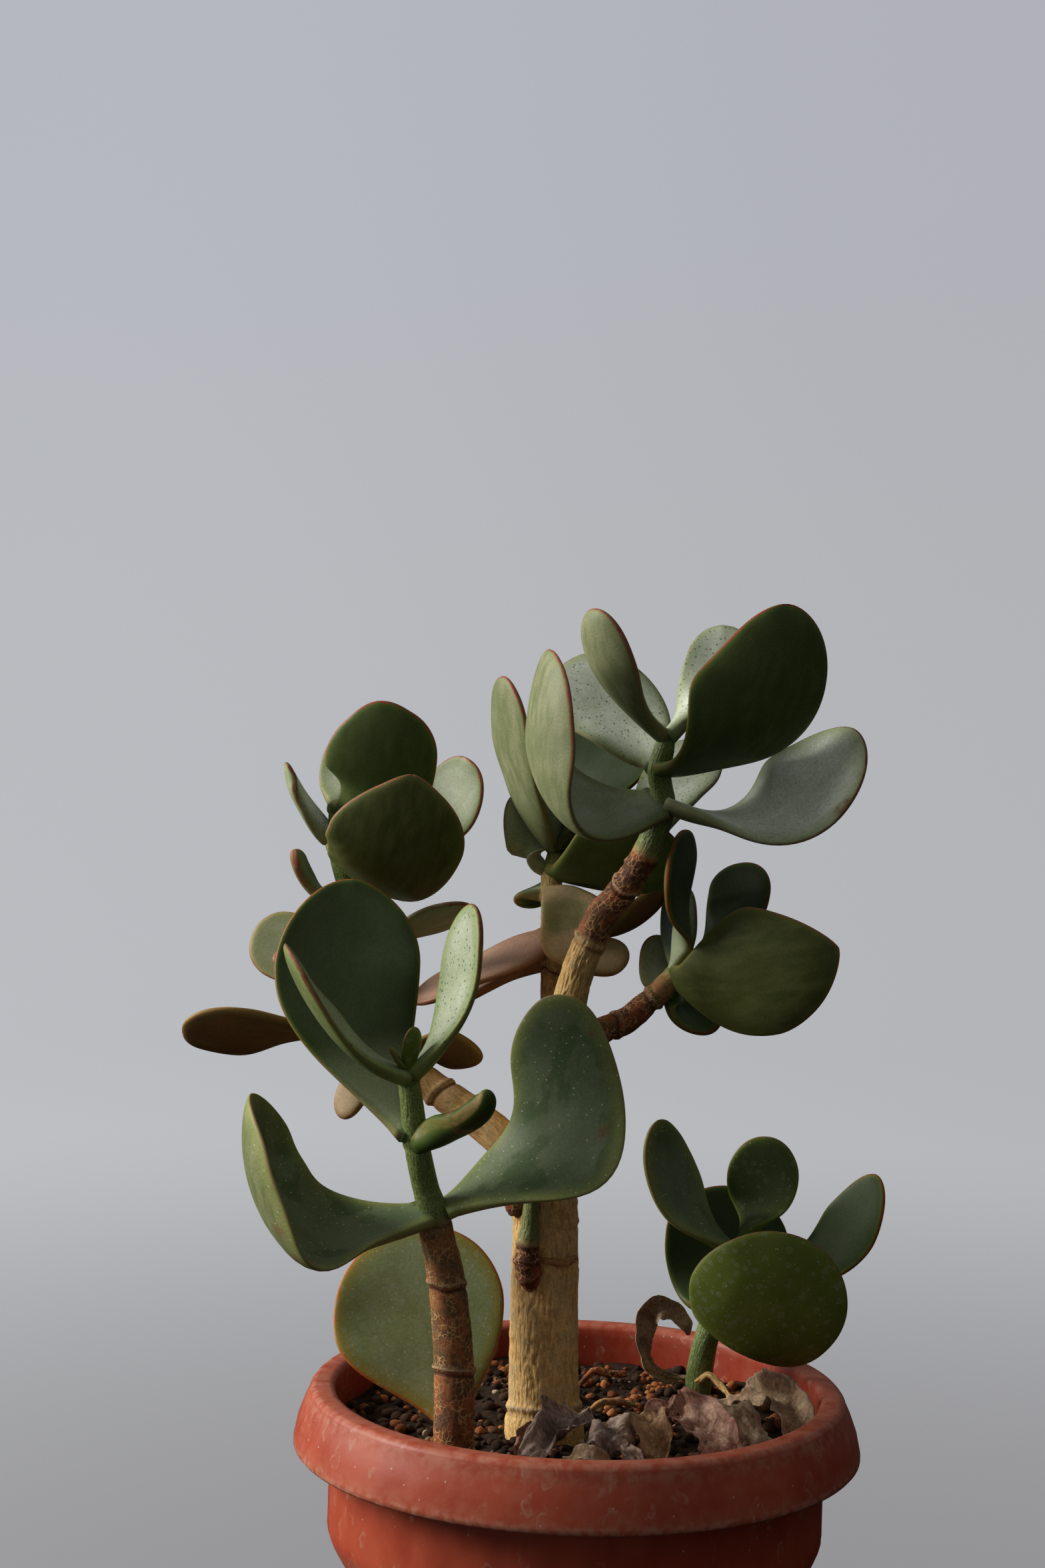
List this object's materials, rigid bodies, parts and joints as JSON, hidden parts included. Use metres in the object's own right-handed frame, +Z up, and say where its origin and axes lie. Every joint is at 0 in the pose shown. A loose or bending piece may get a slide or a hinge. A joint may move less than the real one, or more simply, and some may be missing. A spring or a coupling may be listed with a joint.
{
  "type": "potted silver dollar plant",
  "caption": "Potted silver dollar plant: a branching woody succulent with thick round blue-green leaves, standing in soil in a round terracotta-coloured plastic pot.",
  "frame": {"origin": "middle of the pot's flat base, on the surface it stands on", "axes": "+Z up along the pot's axis; the picture looks along +Y, with +X to its right"},
  "size_m": [0.2245, 0.1866, 0.394],
  "materials": {
    "pot_plastic": "moulded plastic, dusty, with dried water marks",
    "soil": "dark crumbly potting soil with orange-brown grains",
    "bark": "pale tan bark with fine upright cracks, maroon-brown on the young limbs",
    "stem_corky": "maroon-brown skin with a tan net of cracks, green near the top",
    "stem_green": "smooth green succulent stem",
    "leaf_silver": "blue-green leaf with a silvery bloom and a thin red edge",
    "leaf_green": "mid-green leaf with a thin red edge",
    "leaf_dark": "dark green leaf with a thin red edge",
    "leaf_olive": "olive to yellow-green leaf with an orange-red edge",
    "leaf_stressed": "tan, brown or pinkish fading leaf",
    "dead_leaf": "dry crumpled leaf, tan to grey-brown"
  },
  "bodies": {
    "root": {"pot": "pot_plastic", "soil": "soil", "trunk": "bark", "stem_front": "stem_corky", "stem_offshoot": "stem_green", "leaf_front_low_left": "leaf_silver", "leaf_front_low_right": "leaf_silver", "leaf_front_back": "leaf_green", "leaf_front_small": "leaf_green", "leaf_front_top_left": "leaf_silver", "leaf_front_top_right": "leaf_silver", "leaf_front_round": "leaf_olive", "leaf_left_top": "leaf_dark", "leaf_left_front": "leaf_olive", "leaf_left_silver": "leaf_silver", "leaf_left_narrow": "leaf_green", "leaf_left_back": "leaf_green", "leaf_left_sliver": "leaf_green", "leaf_left_inner": "leaf_dark", "leaf_left_round": "leaf_silver", "leaf_left_small": "leaf_stressed", "leaf_left_brown": "leaf_stressed", "leaf_left_hanging": "leaf_stressed", "leaf_left_dark": "leaf_stressed", "leaf_top_large": "leaf_dark", "leaf_top_spotted": "leaf_silver", "leaf_top_left": "leaf_green", "leaf_top_silver": "leaf_silver", "leaf_right_slim": "leaf_silver", "leaf_top_low_right": "leaf_silver", "leaf_top_low_left": "leaf_silver", "leaf_top_back": "leaf_silver", "leaf_middle_tall": "leaf_silver", "leaf_middle_wide": "leaf_dark", "leaf_middle_shaded": "leaf_dark", "leaf_middle_left": "leaf_dark", "leaf_middle_drooping": "leaf_stressed", "leaf_middle_tan": "leaf_stressed", "leaf_middle_brown": "leaf_stressed", "leaf_middle_small": "leaf_green", "leaf_middle_pink": "leaf_stressed", "leaf_middle_dark": "leaf_stressed", "leaf_right_large": "leaf_olive", "leaf_right_upper": "leaf_dark", "leaf_right_narrow": "leaf_green", "leaf_right_left": "leaf_silver", "leaf_right_low": "leaf_dark", "leaf_offshoot_front": "leaf_dark", "leaf_offshoot_back": "leaf_dark", "leaf_offshoot_left": "leaf_silver", "leaf_offshoot_right": "leaf_green", "leaf_offshoot_top": "leaf_dark", "dead_leaf_curled": "dead_leaf", "dead_leaf_right": "dead_leaf", "dead_leaf_left": "dead_leaf", "dead_leaf_front": "dead_leaf", "dead_leaf_cup": "dead_leaf", "dead_leaf_tall": "dead_leaf", "dead_leaf_pink": "dead_leaf", "dead_leaf_pale": "dead_leaf"}
  },
  "joints": []
}
